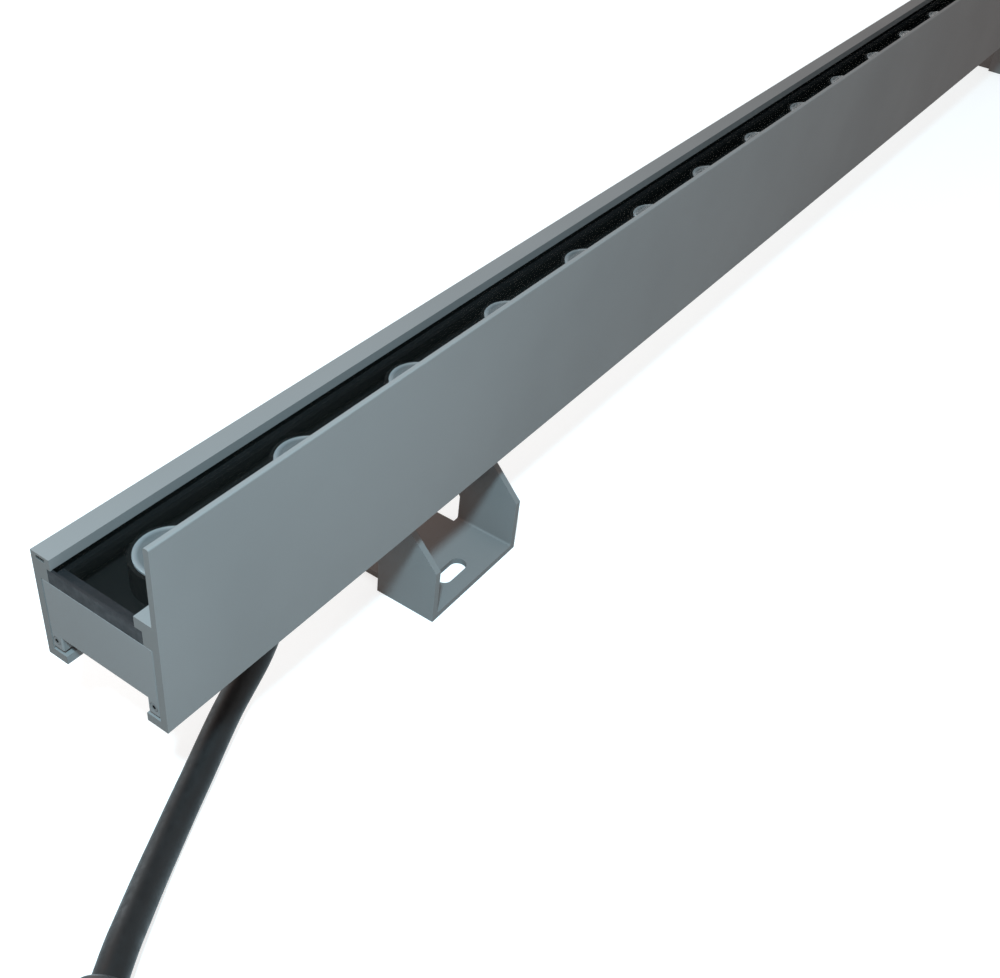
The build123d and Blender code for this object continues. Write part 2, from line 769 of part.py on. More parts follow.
# Bracket foot: a bent plate cut to its side view, then slotted and drilled
foot_top = pivot_height + foot_head
front_slot = (front_slot_shift, front_slot_setback - foot_depth)
rear_slot = (0, tongue_depth - rear_slot_setback)
with BuildPart() as foot:
    with BuildSketch(Plane.XZ.offset(foot_depth)) as foot_bend:
        Rectangle(foot_length, foot_top, align=(Align.CENTER, Align.MIN))
        with Locations((0, plate)):
            Rectangle(foot_length - 2 * plate, foot_top, align=(Align.CENTER, Align.MIN), mode=Mode.SUBTRACT)
        bend_levels = foot_bend.vertices().group_by(Axis.Y)
        fillet(bend_levels[1], radius=bend_radius)
        fillet(bend_levels[0], radius=bend_radius + plate)
    extrude(amount=-foot_depth - tongue_depth)
    with BuildSketch(Plane.YZ) as foot_side:
        with BuildLine() as ear_line:
            CenterArc((0, pivot_height), foot_head, 0, 360)
            Line((-foot_depth, front_shoulder), (0, rear_shoulder))
        make_hull()
        Rectangle(foot_depth, front_shoulder, align=(Align.MAX, Align.MIN))
        with Locations((-foot_depth, 0)):
            Rectangle(foot_depth + tongue_depth, plate, align=(Align.MIN, Align.MIN))
    extrude(amount=foot_length, both=True, mode=Mode.INTERSECT)
    with BuildSketch(Plane.XY) as tongue_cuts:
        with GridLocations(foot_length, 0, 2, 1):
            Rectangle(2 * tongue_inset, 2 * tongue_depth)
        Rectangle(foot_length * 2, foot_depth, align=(Align.CENTER, Align.MAX), mode=Mode.SUBTRACT)
    extrude(amount=plate, mode=Mode.SUBTRACT)
    with BuildSketch(Plane.XY) as slots:
        with Locations(front_slot, rear_slot):
            SlotOverall(slot_length, slot_width)
    extrude(amount=plate, mode=Mode.SUBTRACT)
    with BuildSketch(Plane.YZ) as foot_pivot:
        with Locations((0, pivot_height)):
            Circle(pivot_radius + pivot_fit)
    extrude(amount=foot_length, both=True, mode=Mode.SUBTRACT)
    tongue_corners = foot.edges().filter_by(Axis.Z).group_by(Axis.Y)[-1]
    fillet(tongue_corners, radius=foot_corner)

# Bracket hanger: its base lies under the rails and its ears hold the pivots
foot_inner_half = foot_length / 2 - plate
hanger_half = foot_inner_half - pivot_washer - pivot_fit
hanger_inner_half = hanger_half - plate
hanger_top = pivot_height + hanger_rise
hanger_seat = hanger_top - plate
with BuildPart() as hanger:
    with BuildSketch(Plane.XZ.offset(hanger_width / 2)) as hanger_bend:
        with Locations((0, hanger_top)):
            Rectangle(2 * hanger_half, hanger_top, align=(Align.CENTER, Align.MAX))
        with Locations((0, hanger_seat)):
            Rectangle(2 * hanger_inner_half, hanger_top, align=(Align.CENTER, Align.MAX), mode=Mode.SUBTRACT)
        bend_levels = hanger_bend.vertices().group_by(Axis.Y)
        fillet(bend_levels[-2], radius=bend_radius)
        fillet(bend_levels[-1], radius=bend_radius + plate)
    extrude(amount=-hanger_width)
    with BuildSketch(Plane.YZ) as hanger_side:
        with BuildLine() as hanger_line:
            CenterArc((0, pivot_height), hanger_ear_radius, 0, 360)
            Line((-hanger_ear_root / 2, hanger_seat), (hanger_ear_root / 2, hanger_seat))
        make_hull()
        with Locations((0, hanger_top)):
            Rectangle(hanger_width, plate, align=(Align.CENTER, Align.MAX))
    extrude(amount=foot_length, both=True, mode=Mode.INTERSECT)
    with BuildSketch(Plane.YZ) as hanger_pivot:
        with Locations((0, pivot_height)):
            Circle(pivot_radius + pivot_fit)
    extrude(amount=foot_length, both=True, mode=Mode.SUBTRACT)
    with BuildSketch(Plane.XY.offset(hanger_seat)) as clamp_holes:
        with GridLocations(clamp_screw_spread, 0, 2, 1):
            Circle(clamp_screw + clamp_screw_fit)
    extrude(amount=plate, mode=Mode.SUBTRACT)

# Clamp plate in the housing's channel: a thin flange on the rails' lips under a thick rib
flange_bottom = rail_top + slide_fit
clamp_top = channel_top - clamp_headroom
with BuildPart() as clamp_plate:
    with BuildSketch(Plane.YZ.offset(-clamp_length / 2)) as clamp_section:
        band(inner_half - clamp_side_gap, flange_bottom, flange_bottom + clamp_flange)
        band(rail_mouth_half - clamp_rib_gap, flange_bottom, clamp_top)
    extrude(amount=clamp_length)
    with BuildSketch(Plane.XY.offset(flange_bottom)) as clamp_threads:
        with GridLocations(clamp_screw_spread, 0, 2, 1):
            Circle(clamp_screw + thread_fit)
    extrude(amount=clamp_top - flange_bottom, mode=Mode.SUBTRACT)

with BuildPart() as clamp_screws:
    for side in sides:
        screw(
            Plane((side * clamp_screw_spread / 2, 0, hanger_seat), z_dir=(0, 0, -1)),
            clamp_screw_head,
            clamp_screw_head_height,
            clamp_screw,
            clamp_top - clamp_screw_short - hanger_seat,
            clamp_screw_socket,
        )

# Pivot bolts from outside, a washer between the ears, and a nut inside each ear
bolt_seat = foot_length / 2 + slide_fit
nut_inner = hanger_inner_half - pivot_nut_height
with BuildPart() as pivot_bolts:
    for side in sides:
        screw(
            Plane((side * bolt_seat, 0, pivot_height), z_dir=(side, 0, 0)),
            pivot_head,
            pivot_head_height,
            pivot_radius,
            bolt_seat - nut_inner + pivot_tip,
            pivot_socket,
        )

with BuildPart() as pivot_nuts:
    with BuildSketch(Plane.YZ.offset(nut_inner)) as nut_face:
        with Locations((0, pivot_height)):
            RegularPolygon(pivot_nut_hex / 2, 6, major_radius=False)
            Circle(pivot_radius + thread_fit / 2, mode=Mode.SUBTRACT)
    extrude(amount=pivot_nut_height)
    mirror(about=Plane.YZ)

with BuildPart() as pivot_washers:
    with BuildSketch(Plane.YZ.offset(hanger_half)) as washer_face:
        with Locations((0, pivot_height)):
            Circle(pivot_washer_radius)
            Circle(pivot_radius + pivot_fit, mode=Mode.SUBTRACT)
    extrude(amount=pivot_washer)
    mirror(about=Plane.YZ)

# Both brackets are alike and stand at their own places along the lamp
bracket_pieces = (
    (foot, "foot"),
    (hanger, "hanger"),
    (clamp_plate, "clamp_plate"),
    (clamp_screws, "clamp_screws"),
    (pivot_bolts, "pivot_bolts"),
    (pivot_nuts, "pivot_nuts"),
    (pivot_washers, "pivot_washers"),
)
for bracket, x in (("near", near_bracket_x), ("far", far_bracket_x)):
    for piece, name in bracket_pieces:
        with BuildPart() as placed:
            with Locations((x, 0, 0)):
                add(piece.part)
        finish(placed, f"{bracket}_{name}")
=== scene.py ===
# %% [markdown]
# Linear floodlight. A wall-washing lamp is one long aluminium extrusion with a row of lenses under
# glass. Its metal parts arrive as a finished CAD model, so this lesson spends its time on what CAD
# can't say: how powder coat, glass, rubber and steel take the light, and how a stiff cord lies.

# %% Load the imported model
import math

import bmesh
import bpy
from mathutils import Matrix, Vector


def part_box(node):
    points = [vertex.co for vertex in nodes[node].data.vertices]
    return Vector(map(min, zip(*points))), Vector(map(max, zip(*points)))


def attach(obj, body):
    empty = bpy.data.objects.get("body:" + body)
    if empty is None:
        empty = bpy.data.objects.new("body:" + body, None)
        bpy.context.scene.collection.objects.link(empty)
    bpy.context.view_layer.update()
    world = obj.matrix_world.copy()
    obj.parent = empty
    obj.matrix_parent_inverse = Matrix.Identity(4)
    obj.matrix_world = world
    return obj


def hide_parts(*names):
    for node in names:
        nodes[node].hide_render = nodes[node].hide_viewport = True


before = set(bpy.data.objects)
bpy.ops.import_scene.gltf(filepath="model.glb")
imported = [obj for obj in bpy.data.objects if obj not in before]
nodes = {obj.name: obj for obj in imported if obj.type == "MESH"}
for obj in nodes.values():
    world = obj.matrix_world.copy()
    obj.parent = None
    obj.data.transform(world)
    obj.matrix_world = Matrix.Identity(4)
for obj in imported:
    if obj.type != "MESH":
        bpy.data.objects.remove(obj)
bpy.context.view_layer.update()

MM = 0.001

# %% [markdown]
# Blender can bend brightness into a film-like curve before it shows a picture. The plain curve,
# Standard, shows a colour as it is written, so finishes can be matched to a photograph by number.

# %% Plain picture curve
bpy.context.scene.view_settings.view_transform = "Standard"
print("picture curve:", bpy.context.scene.view_settings.view_transform)

# %% [markdown]
# The photographer stood close to the lamp's cord end and looked down along it, which is why the far
# end shrinks so fast. A camera's place, its aim and its lens can all be worked out from straight
# edges and an even row of lenses. The three angles are turned into the camera's own axes below.

# %% Camera
CAMERA_PLACE = Vector((-0.63665, -0.19143, 0.31051))
CAMERA_AZIMUTH = math.radians(-60.290)
CAMERA_ELEVATION = math.radians(38.960)
CAMERA_ROLL = math.radians(-7.294)
FOCAL_LENGTH_MM = 43.80
SENSOR_WIDTH_MM = 36.0
NEAREST_SEEN = 0.01


def add_object(name, data):
    """An object that shows some data, placed in the scene."""
    made = bpy.data.objects.new(name, data)
    bpy.context.scene.collection.objects.link(made)
    return made


toward_camera = Vector((
    math.sin(CAMERA_AZIMUTH) * math.cos(CAMERA_ELEVATION),
    -math.cos(CAMERA_AZIMUTH) * math.cos(CAMERA_ELEVATION),
    math.sin(CAMERA_ELEVATION),
))
level_right = (-toward_camera).cross(Vector((0, 0, 1))).normalized()
level_down = (-toward_camera).cross(level_right)
right = level_right * math.cos(CAMERA_ROLL) + level_down * math.sin(CAMERA_ROLL)
up = -(level_down * math.cos(CAMERA_ROLL) - level_right * math.sin(CAMERA_ROLL))

camera_data = bpy.data.cameras.new("camera")
camera_data.lens = FOCAL_LENGTH_MM
camera_data.sensor_width = SENSOR_WIDTH_MM
camera_data.clip_start = NEAREST_SEEN
camera = add_object("camera", camera_data)
turn = Matrix((right, up, toward_camera)).transposed().to_4x4()
camera.matrix_world = Matrix.Translation(CAMERA_PLACE) @ turn
bpy.context.scene.camera = camera
print("camera looks along", [round(v, 3) for v in -toward_camera])

# %% [markdown]
# The supply cord is stiff rubber cable, so it bends in one slow sweep: down out of the gland under
# the lamp, onto the floor, and up a little into its connector, which lies beside the near end. A
# NURBS curve suits this, because a few given points give a smooth line with no corners. Each
# point carries the cord's own radius, and a bevel of one metre turns that into the round section.
# The spline's order comes after its points: set before them, it would stay at straight runs.

# %% Supply cord
CORD_DIAMETER = 9.5 * MM
CORD_ROUNDNESS = 10
CORD_SMOOTHNESS = 16
CORD_ROUTE_MM = [
    (-435.0, 0.0, 41.4),
    (-435.0, 0.0, 34.4),
    (-437.4, -0.3, 26.2),
    (-443.5, -1.0, 18.8),
    (-451.0, -1.9, 13.9),
    (-460.0, -4.0, 11.0),
    (-470.0, -7.7, 9.0),
    (-481.0, -12.1, 7.0),
    (-492.5, -16.7, 5.6),
    (-503.9, -21.7, 4.85),
    (-515.7, -27.5, 5.9),
    (-527.1, -33.9, 8.3),
    (-537.0, -39.4, 10.2),
    (-545.6, -44.5, 10.2),
]
cord_curve = bpy.data.curves.new("supply_cord", "CURVE")
cord_curve.dimensions = "3D"
cord_curve.bevel_depth = 1.0
cord_curve.bevel_resolution = CORD_ROUNDNESS
cord_curve.resolution_u = CORD_SMOOTHNESS
cord_line = cord_curve.splines.new("NURBS")
cord_line.points.add(len(CORD_ROUTE_MM) - 1)
for point, place in zip(cord_line.points, CORD_ROUTE_MM):
    point.co = (*(Vector(place) * MM), 1)
    point.radius = CORD_DIAMETER / 2
cord_line.order_u = 3
cord_line.use_endpoint_u = True
supply_cord = add_object("supply_cord", cord_curve)
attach(supply_cord, "lamp")
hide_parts("power_cord")
print("cord points:", len(CORD_ROUTE_MM))

# %% [markdown]
# The studio has to look white without all that white light falling on the lamp. A shader can answer
# each kind of ray in its own way: the rays that see it, which are the camera's and those that come
# by a mirror or through a clear piece, find one shader, and the rays that carry light another.

# %% Shaders that answer each ray in its own way
WHITE = (1, 1, 1, 1)


def link(tree, source, output, target, socket):
    """Join one node's output to another node's input, each given by its name or number."""
    tree.links.new(source.outputs[output], target.inputs[socket])


def arithmetic(tree, operation, first, second=None):
    """A Math node on an output and, where it takes two, a number or another output."""
    step = tree.nodes.new("ShaderNodeMath")
    step.operation = operation
    tree.links.new(first, step.inputs[0])
    if isinstance(second, float):
        step.inputs[1].default_value = second
    elif second is not None:
        tree.links.new(second, step.inputs[1])
    return step.outputs[0]


def seen_rays(tree):
    """An output that is 1 for camera, glossy and transmission rays, and 0 for the others."""
    path = tree.nodes.new("ShaderNodeLightPath")
    seen = arithmetic(tree, "MAXIMUM", path.outputs["Is Camera Ray"], path.outputs["Is Glossy Ray"])
    return arithmetic(tree, "MAXIMUM", seen, path.outputs["Is Transmission Ray"])


def split_by_ray(tree, end, bounced, seen):
    """End a tree in one shader for bounced light, and in another for the rays that see it."""
    choice = tree.nodes.new("ShaderNodeMixShader")
    tree.links.new(seen_rays(tree), choice.inputs[0])
    link(tree, bounced, 0, choice, 1)
    link(tree, seen, 0, choice, 2)
    link(tree, choice, 0, end, "Surface")


def glowing(tree, kind, colour, strength):
    """A shader of a kind that gives out light of its own."""
    shader = tree.nodes.new(kind)
    shader.inputs["Color"].default_value = colour
    shader.inputs["Strength"].default_value = strength
    return shader


def diffuse(tree, colour):
    """A plain matt shader."""
    shader = tree.nodes.new("ShaderNodeBsdfDiffuse")
    shader.inputs["Color"].default_value = colour
    return shader


print("rays that see the studio find", WHITE)

# %% [markdown]
# The lamp stands on a plain pale floor, which should look white and still hold a soft shadow. So the
# rays that see it find an even glow added to a matt base, and only the base can be shadowed. That
# base is a shade blue, because the fill is warm. The rays that carry light find plain pale paint.

# %% Floor
FLOOR_BOUNCE = (0.55, 0.55, 0.55, 1)
FLOOR_BASE = (0.42, 0.50, 0.54, 1)
FLOOR_GLOW = 0.64
FLOOR_HALF = 6.0

floor_paint = bpy.data.materials.new("pale_floor")
floor_paint.use_nodes = True
floor_tree = floor_paint.node_tree
floor_tree.nodes.clear()
floor_end = floor_tree.nodes.new("ShaderNodeOutputMaterial")
floor_seen = floor_tree.nodes.new("ShaderNodeAddShader")
link(floor_tree, diffuse(floor_tree, FLOOR_BASE), 0, floor_seen, 0)
link(floor_tree, glowing(floor_tree, "ShaderNodeEmission", WHITE, FLOOR_GLOW), 0, floor_seen, 1)
split_by_ray(floor_tree, floor_end, diffuse(floor_tree, FLOOR_BOUNCE), floor_seen)

floor_shape = bmesh.new()
bmesh.ops.create_grid(floor_shape, x_segments=1, y_segments=1, size=FLOOR_HALF)
floor_mesh = bpy.data.meshes.new("floor")
floor_shape.to_mesh(floor_mesh)
floor_shape.free()
floor_mesh.materials.append(floor_paint)
floor = add_object("floor", floor_mesh)
print("floor half width:", FLOOR_HALF)

# %% [markdown]
# The shadow on the bracket is crisp and slants back, and the metal darkens towards the far end. Both
# say that the key lamp is small and hangs half a metre above the cord end, before the visor. It is
# a cool lamp in a slightly warm room. The room's fill is near full strength, so a colour shows
# about as it is written on every side. A weak warm lamp behind lifts the upward faces a little, and
# a low one there keeps the side that the photograph doesn't show from going dull.

# %% Light
FILL_COLOUR = (1.0, 0.86, 0.79, 1)
FILL_STRENGTH = 0.80
BRACKET = (-0.355, -0.02, 0.03)
CORD_END = (-0.45, 0.0, 0.08)
MIDDLE = (-0.05, 0.0, 0.05)

studio = bpy.data.worlds.new("studio")
bpy.context.scene.world = studio
studio.use_nodes = True
studio_tree = studio.node_tree
studio_tree.nodes.clear()
studio_end = studio_tree.nodes.new("ShaderNodeOutputWorld")
studio_fill = glowing(studio_tree, "ShaderNodeBackground", FILL_COLOUR, FILL_STRENGTH)
studio_seen = glowing(studio_tree, "ShaderNodeBackground", WHITE, 1.0)
split_by_ray(studio_tree, studio_end, studio_fill, studio_seen)


def soft_lamp(name, place, aim, size, watts, colour):
    """A square lamp at a place, turned towards a point."""
    data = bpy.data.lights.new(name, "AREA")
    data.shape = "SQUARE"
    data.size = size
    data.energy = watts
    data.color = colour
    lamp = add_object(name, data)
    lamp.location = place
    lamp.rotation_mode = "QUATERNION"
    lamp.rotation_quaternion = (Vector(aim) - Vector(place)).to_track_quat("-Z", "Y")


soft_lamp("key", (-0.70, -0.21, 0.55), BRACKET, size=0.05, watts=6.9, colour=(0.58, 0.88, 1.0))
soft_lamp("back", (-0.60, 0.50, 0.62), CORD_END, size=0.5, watts=1.4, colour=(1.0, 0.50, 0.32))
soft_lamp("rear", (-0.10, 1.20, 0.26), MIDDLE, size=0.45, watts=5.0, colour=(0.86, 0.95, 1.0))

# %% [markdown]
# A finish is matched by the tone that it shows on a screen, from 0 to 255, but a shader reckons in
# linear light. The first helper turns the one into the other, and the second makes a tone lighter
# or darker. The coat on the lamp's metal is a neutral mid grey.

# %% Colours
def shown_colour(red, green, blue):
    """The linear colour of a screen colour given from 0 to 255."""
    def linear(value):
        share = value / 255
        return share / 12.92 if share <= 0.04045 else ((share + 0.055) / 1.055) ** 2.4
    return (linear(red), linear(green), linear(blue), 1)


def tinted(colour, factor):
    """A colour made lighter or darker by a factor."""
    return (*(min(1.0, channel * factor) for channel in colour[:3]), 1)


COAT_COLOUR = shown_colour(112, 113, 114)
print("coat colour:", [round(c, 3) for c in COAT_COLOUR[:3]])

# %% [markdown]
# Real finishes are seldom one flat colour. In most materials below, noise that is fixed to the
# object stirs the colour, roughness and relief of a Principled shader, so the grain stays put when
# the lamp is seen from another side. Noise keeps near the middle of its range from 0 to 1, so the
# helpers spread what lies between two limits there over the whole effect.

# %% Noise for colour, roughness and relief
NOISE_LOW = 0.3
NOISE_HIGH = 0.7


def inside_of(finish):
    """A finish's node tree and its Principled shader."""
    return finish.node_tree, finish.node_tree.nodes["Principled BSDF"]


def new_finish(name, colour, roughness, shine=0.5, metallic=0.0):
    """A material with one Principled shader, still plain. Gives it, its tree and the shader."""
    finish = bpy.data.materials.new(name)
    finish.use_nodes = True
    tree, shader = inside_of(finish)
    shader.inputs["Base Color"].default_value = colour
    shader.inputs["Roughness"].default_value = roughness
    shader.inputs["Specular IOR Level"].default_value = shine
    shader.inputs["Metallic"].default_value = metallic
    return finish, tree, shader


def object_noise(tree, scale, detail, stretch=(1, 1, 1)):
    """Noise fixed to the object, at so many grains to the metre, stretched along an axis."""
    place = tree.nodes.new("ShaderNodeTexCoord")
    mapping = tree.nodes.new("ShaderNodeMapping")
    mapping.inputs["Scale"].default_value = stretch
    noise = tree.nodes.new("ShaderNodeTexNoise")
    noise.inputs["Scale"].default_value = scale
    noise.inputs["Detail"].default_value = detail
    link(tree, place, "Object", mapping, "Vector")
    link(tree, mapping, "Vector", noise, "Vector")
    return noise


def stir_colour(tree, shader, noise, colour, darkest, lightest):
    """Blend the base colour by a noise, between a colour made darker and made lighter."""
    ramp = tree.nodes.new("ShaderNodeValToRGB")
    dark, light = ramp.color_ramp.elements
    dark.position = NOISE_LOW
    dark.color = tinted(colour, darkest)
    light.position = NOISE_HIGH
    light.color = tinted(colour, lightest)
    link(tree, noise, "Fac", ramp, "Fac")
    link(tree, ramp, "Color", shader, "Base Color")


def stir_roughness(tree, shader, noise, low, high):
    """Blend the roughness between two values by a noise."""
    spread = tree.nodes.new("ShaderNodeMapRange")
    spread.inputs["From Min"].default_value = NOISE_LOW
    spread.inputs["From Max"].default_value = NOISE_HIGH
    spread.inputs["To Min"].default_value = low
    spread.inputs["To Max"].default_value = high
    link(tree, noise, "Fac", spread, "Value")
    link(tree, spread, "Result", shader, "Roughness")


def add_relief(tree, shader, noise, height, strength):
    """Raise the surface by a noise, by a height in metres."""
    bump = tree.nodes.new("ShaderNodeBump")
    bump.inputs["Strength"].default_value = strength
    bump.inputs["Distance"].default_value = height
    link(tree, noise, "Fac", bump, "Height")
    link(tree, bump, "Normal", shader, "Normal")


print("noise is spread from", NOISE_LOW, "to", NOISE_HIGH)

# %% [markdown]
# Powder coat is a baked plastic skin about a tenth of a millimetre thick. It is matt, with a fine
# orange-peel relief of half-millimetre dimples, and its tone drifts a little along a long profile.
# The shader's mirror is switched off: at flat angles it would show the white room, and the coat
# would look chalky there, which the real one doesn't.

# %% Powder coat
DRIFT_GRAIN = 14
SHEEN_GRAIN = 900
PEEL_HEIGHT = 0.03 * MM
COAT_ROUGHNESS = (0.46, 0.62)


def powder_coat(name, colour, peel_grain):
    """A matt coat with fine peel and a slow drift of tone."""
    low, high = COAT_ROUGHNESS
    finish, tree, shader = new_finish(name, colour, (low + high) / 2, shine=0.0)
    drift = object_noise(tree, DRIFT_GRAIN, detail=3)
    stir_colour(tree, shader, drift, colour, darkest=0.95, lightest=1.04)
    stir_roughness(tree, shader, object_noise(tree, SHEEN_GRAIN, detail=1), low, high)
    add_relief(tree, shader, object_noise(tree, peel_grain, detail=2), PEEL_HEIGHT, strength=0.5)
    return finish


body_coat = powder_coat("grey_powder_coat", COAT_COLOUR, peel_grain=1900)
# The caps and brackets wear the body's coat. Their darker tones are painted shade.
shaded_cap_coat = powder_coat("cap_powder_coat", tinted(COAT_COLOUR, 0.92), peel_grain=1500)
shaded_bracket_coat = powder_coat("bracket_powder_coat", tinted(COAT_COLOUR, 0.88), peel_grain=1700)
screw_coat = powder_coat("screw_coat", tinted(COAT_COLOUR, 0.75), peel_grain=1500)
print("coats:", [coat.name for coat in (body_coat, shaded_cap_coat, shaded_bracket_coat, screw_coat)])

# %% [markdown]
# One piece can carry several paints: the place of each point, in the object's own frame, tells the
# shader whether the point lies inside a box, or how far it is from an axis. These helpers read that
# place, measure with it, and lay a plain paint over what the shader had. The housing's own box,
# read from the model, tells where its ends are.

# %% Helpers that paint by place
def object_axes(tree):
    """A node that gives a point's X, Y and Z in the object's own frame, in metres."""
    place = tree.nodes.new("ShaderNodeTexCoord")
    axes = tree.nodes.new("ShaderNodeSeparateXYZ")
    link(tree, place, "Object", axes, "Vector")
    return axes


def inside_box(tree, axes, low, high):
    """An output that is 1 inside a box given in metres, and 0 elsewhere."""
    inside = None
    for axis, least, most in zip("XYZ", low, high):
        for operation, edge in (("GREATER_THAN", least), ("LESS_THAN", most)):
            test = arithmetic(tree, operation, axes.outputs[axis], edge)
            inside = test if inside is None else arithmetic(tree, "MULTIPLY", inside, test)
    return inside


def distance(tree, across, along):
    """An output that is the distance made by two others at right angles."""
    squares = (arithmetic(tree, "MULTIPLY", side, side) for side in (across, along))
    return arithmetic(tree, "SQRT", arithmetic(tree, "ADD", *squares))


def paint_over(tree, shader, socket, mask, value):
    """Replace what feeds a socket by a plain value wherever the mask is 1."""
    blend = tree.nodes.new("ShaderNodeMix")
    blend.data_type = "RGBA"
    source = shader.inputs[socket].links[0].from_socket
    before, after = (s for s in blend.inputs if s.enabled and s.name in ("A", "B"))
    after.default_value = value
    tree.links.new(mask, blend.inputs["Factor"])
    tree.links.new(source, before)
    tree.links.new(next(s for s in blend.outputs if s.enabled), shader.inputs[socket])


housing_low, housing_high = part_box("housing")
print("housing box:", [[round(v, 4) for v in corner] for corner in (housing_low, housing_high)])

# %% [markdown]
# Inside, around the lenses, the housing's coat is painted over near black, from the boards up to the
# glass's top. The thin hollow in the rear lip is painted dark, as painted shade. Its sawn ends get
# painted shade too: a slice as thin as the coat itself is painted a darker grey there.

# %% Dark paint inside the light chamber, painted shade in the lip hollow and on the sawn ends
CHAMBER_MM = ((-20.8, 69.7), (20.8, 85.4))
LIP_HOLLOW_MM = ((17.7, 86.9), (21.2, 88.3))
CHAMBER_SETBACK = 0.6 * MM
HOLLOW_SETBACK = 0.1 * MM
SKIN = 0.05 * MM
CHAMBER_TONE = 0.004
# The tone of the painted shade in the rear lip's hollow.
PAINTED_HOLLOW_SHADE = 0.05
# The grey of the painted shade on the housing's sawn ends.
PAINTED_END_SHADE = 0.125
MATT = (0.9, 0.9, 0.9, 1)


def along_housing(section, setback):
    """A box along the housing: a section's Y and Z limits in millimetres, set back at both ends."""
    low, high = section
    return (
        (housing_low[0] + setback, low[0] * MM, low[1] * MM),
        (housing_high[0] - setback, high[0] * MM, high[1] * MM),
    )


def across_housing(x):
    """A thin box that holds the housing's whole section at one of its ends."""
    return (
        (x - SKIN, housing_low[1] - SKIN, housing_low[2] - SKIN),
        (x + SKIN, housing_high[1] + SKIN, housing_high[2] + SKIN),
    )


painted = (
    (along_housing(CHAMBER_MM, CHAMBER_SETBACK), CHAMBER_TONE),
    # Painted shade in the rear lip's hollow, then painted shade on both sawn ends.
    (along_housing(LIP_HOLLOW_MM, HOLLOW_SETBACK), PAINTED_HOLLOW_SHADE),
    (across_housing(housing_low[0]), PAINTED_END_SHADE),
    (across_housing(housing_high[0]), PAINTED_END_SHADE),
)
coat_tree, coat_shader = inside_of(body_coat)
coat_axes = object_axes(coat_tree)
for box, tone in painted:
    mask = inside_box(coat_tree, coat_axes, *box)
    paint_over(coat_tree, coat_shader, "Base Color", mask, (tone, tone, tone, 1))
    paint_over(coat_tree, coat_shader, "Roughness", mask, MATT)
print("tones painted over the coat:", [tone for box, tone in painted])

# %% [markdown]
# The caps' screws are coated with the caps, so only their small sockets show them, and the shade in
# the sockets is painted on.
# A screw's axis runs along the lamp, so the distance from it is measured across, on Y and Z. The
# two screws lie evenly to both sides, and the plain size of Y, without its sign, serves them both.

# %% Screw sockets, with painted shade inside them
SOCKET_RADIUS = 0.62 * MM
SOCKET_SHADE = (0.01, 0.01, 0.01, 1)

screws_low, screws_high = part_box("end_cap_screws_near")
head_radius = (screws_high[2] - screws_low[2]) / 2
axis_y = screws_high[1] - head_radius
axis_z = screws_high[2] - head_radius
screw_tree, screw_shader = inside_of(screw_coat)
screw_axes = object_axes(screw_tree)
from_middle = arithmetic(screw_tree, "ABSOLUTE", screw_axes.outputs["Y"])
sideways = arithmetic(screw_tree, "SUBTRACT", from_middle, axis_y)
upwards = arithmetic(screw_tree, "SUBTRACT", screw_axes.outputs["Z"], axis_z)
painted_socket_shade = arithmetic(screw_tree, "LESS_THAN", distance(screw_tree, sideways, upwards), SOCKET_RADIUS)
# Painted shade: each socket is painted near black.
paint_over(screw_tree, screw_shader, "Base Color", painted_socket_shade, SOCKET_SHADE)
print("screw head radius:", round(head_radius / MM, 2), "mm")

# %% [markdown]
# The cover glass is tempered and treated so that it hardly mirrors the sky: from above, one looks
# straight through it at black boards. A flat pane bends no picture, so plain alpha makes it clear
# and lets the lamps through to the lenses. A mirror on so clear a pane would only show as grain, so
# it is switched off, and what is left is a thin grey film that a noise makes uneven.

# %% Cover glass
GLASS_FILM = (0.02, 0.022, 0.021, 1)
GLASS_ALPHA = 0.08
GLASS_GRAIN = 9

cover_glass, glass_tree, glass_shader = new_finish("low_reflection_glass", GLASS_FILM, 0.1, shine=0.0)
glass_shader.inputs["Alpha"].default_value = GLASS_ALPHA
unevenness = object_noise(glass_tree, GLASS_GRAIN, detail=1)
stir_colour(glass_tree, glass_shader, unevenness, GLASS_FILM, darkest=0.8, lightest=1.2)
print("glass alpha:", GLASS_ALPHA)

# %% [markdown]
# The lenses are moulded clear plastic that glows a little grey, so they scatter half of the light,
# and their round rims carry a painted highlight, a paler tone: the distance from the nearest lens's
# axis picks the tone. The row has an even pitch, so what is left of X after whole pitches tells how
# far off that axis is.

# %% Lenses, with a painted highlight on their rims
LENS_COUNT = 18
LENS_CORE = shown_colour(122, 129, 133)
# Painted highlight: the paler tone of the lens rims.
LENS_RIM_HIGHLIGHT = shown_colour(178, 184, 188)
LENS_CLEAR_SHARE = 0.5
LENS_REFRACTION = 1.36
RIM_STARTS = 9.0 * MM
RIM_FULL = 10.3 * MM

lenses_low, lenses_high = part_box("lenses")
lens_pitch = (housing_high[0] - housing_low[0]) / LENS_COUNT
row_y = (lenses_low[1] + lenses_high[1]) / 2
lens_plastic, lens_tree, lens_shader = new_finish("clear_lens_plastic", LENS_CORE, 0.10)
lens_shader.inputs["Transmission Weight"].default_value = LENS_CLEAR_SHARE
lens_shader.inputs["IOR"].default_value = LENS_REFRACTION
lens_axes = object_axes(lens_tree)
in_pitches = arithmetic(lens_tree, "DIVIDE", lens_axes.outputs["X"], lens_pitch)
past_joint = arithmetic(lens_tree, "FLOORED_MODULO", in_pitches, 1.0)
off_axis = arithmetic(lens_tree, "SUBTRACT", past_joint, 0.5)
along = arithmetic(lens_tree, "MULTIPLY", off_axis, lens_pitch)
across = arithmetic(lens_tree, "SUBTRACT", lens_axes.outputs["Y"], row_y)
rim = lens_tree.nodes.new("ShaderNodeMapRange")
